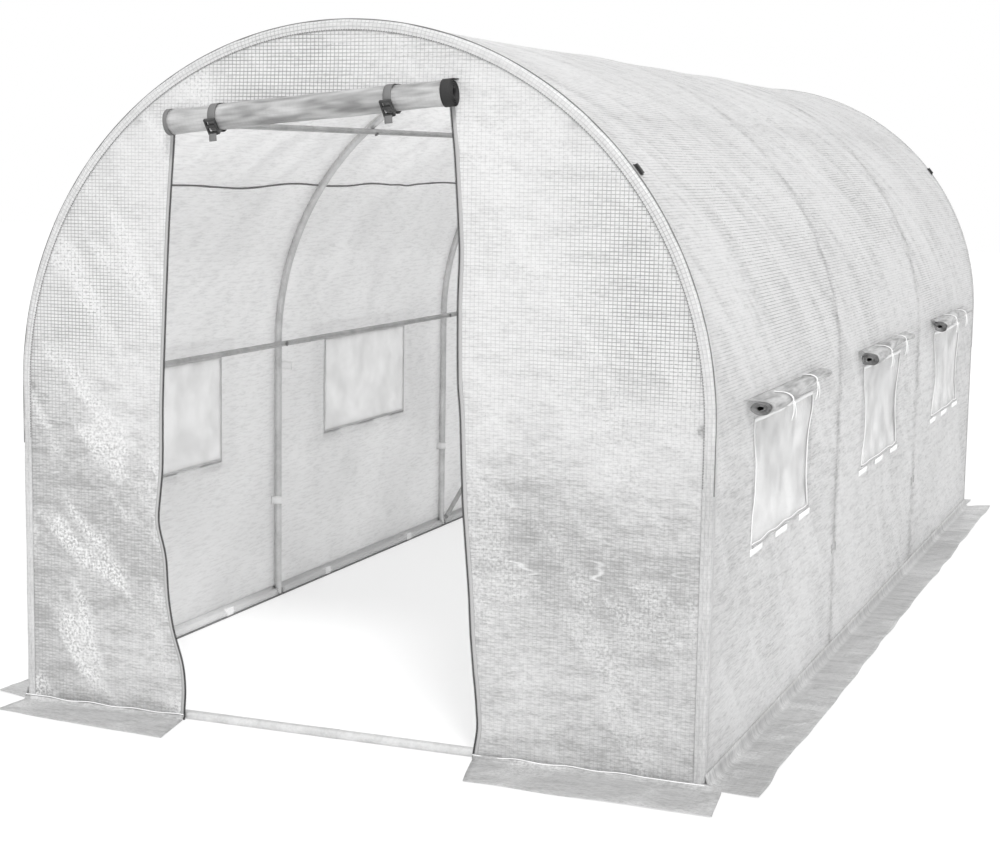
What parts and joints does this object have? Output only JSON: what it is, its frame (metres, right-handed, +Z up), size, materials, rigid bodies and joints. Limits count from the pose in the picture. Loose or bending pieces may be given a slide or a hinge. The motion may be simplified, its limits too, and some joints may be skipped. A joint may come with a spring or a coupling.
{
  "type": "greenhouse",
  "caption": "Walk-in tunnel greenhouse: a reinforced film cover over bent steel hoops, with a roll-up zip door, netted side windows under rolled flaps, and ground skirts.",
  "frame": {"origin": "middle of the footprint, on the ground", "axes": "+Y along the tunnel from the door to the back, +X to the right as seen from the door, +Z up"},
  "size_m": [2.23, 4.86, 1.9],
  "materials": {
    "cover_film": "translucent, grid reinforced",
    "frame_steel": "galvanised tube",
    "seam_cord": "sewn welt",
    "black_webbing": "woven",
    "black_plastic": "moulded",
    "window_net": "fine insect net",
    "white_webbing": "woven",
    "white_plastic": "moulded"
  },
  "bodies": {
    "root": {"hoop_arch_1": "frame_steel", "hoop_arch_2": "frame_steel", "hoop_arch_3": "frame_steel", "hoop_arch_4": "frame_steel", "left_legs": "frame_steel", "right_legs": "frame_steel", "left_base_rails": "frame_steel", "right_base_rails": "frame_steel", "front_ground_rail": "frame_steel", "back_ground_rail": "frame_steel", "left_side_purlin": "frame_steel", "right_side_purlin": "frame_steel", "left_shoulder_purlin": "frame_steel", "right_shoulder_purlin": "frame_steel", "rear_braces": "frame_steel", "seam_cords": "seam_cord", "seam_toggles": "black_webbing", "door_straps": "black_webbing", "door_zips": "black_webbing", "door_roll_zip_ends": "black_webbing", "door_buckles": "black_plastic", "front_panel_left": "cover_film", "front_panel_right": "cover_film", "front_panel_top": "cover_film", "back_panel": "cover_film", "left_side_sheet": "cover_film", "right_side_sheet": "cover_film", "roof_sheet": "cover_film", "left_skirt": "cover_film", "right_skirt": "cover_film", "back_skirt": "cover_film", "front_skirt_left": "cover_film", "front_skirt_right": "cover_film", "door_roll": "cover_film", "left_window_flaps": "cover_film", "right_window_rolls": "cover_film", "left_window_nets": "window_net", "right_window_nets": "window_net", "window_ties": "white_webbing", "window_tabs": "white_webbing", "leg_ties": "white_webbing", "base_clips": "white_plastic"}
  },
  "joints": []
}
